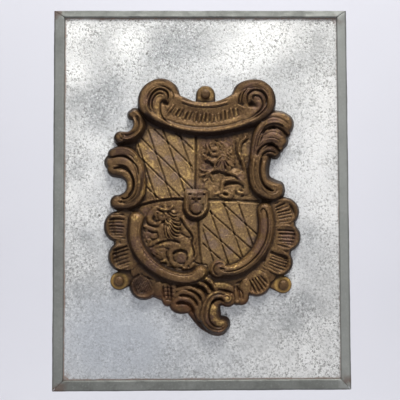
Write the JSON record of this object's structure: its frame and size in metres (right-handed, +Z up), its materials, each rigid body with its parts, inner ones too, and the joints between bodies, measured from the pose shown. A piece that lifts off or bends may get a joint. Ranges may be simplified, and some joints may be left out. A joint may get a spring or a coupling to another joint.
{
  "type": "heraldic wall plaque",
  "caption": "Cast brass rococo coat of arms with lions, scrolls and shells, nailed on an upright white-metal plate edged with grey metal strips, hung flat on a wall.",
  "frame": {"origin": "centre of the flat back, on the wall plane", "axes": "+Z up, the front faces -Y, +Y points into the wall, +X to the right seen from the front"},
  "size_m": [0.1554, 0.011, 0.2],
  "materials": {
    "cast_brass": "dark brown patina, golden brown where worn on the high points",
    "white_metal": "bright, finely pitted, with cloudy grey tarnish",
    "grey_metal": "dull weathered grey, rusty at the corners",
    "nail_metal": "dark, domed heads with worn crowns"
  },
  "bodies": {
    "root": {"cartouche": "cast_brass", "backing_plate": "white_metal", "edge_strip_top": "grey_metal", "edge_strip_bottom": "grey_metal", "edge_strip_left": "grey_metal", "edge_strip_right": "grey_metal", "nail_top": "nail_metal", "nail_left": "nail_metal", "nail_right": "nail_metal"}
  },
  "joints": []
}
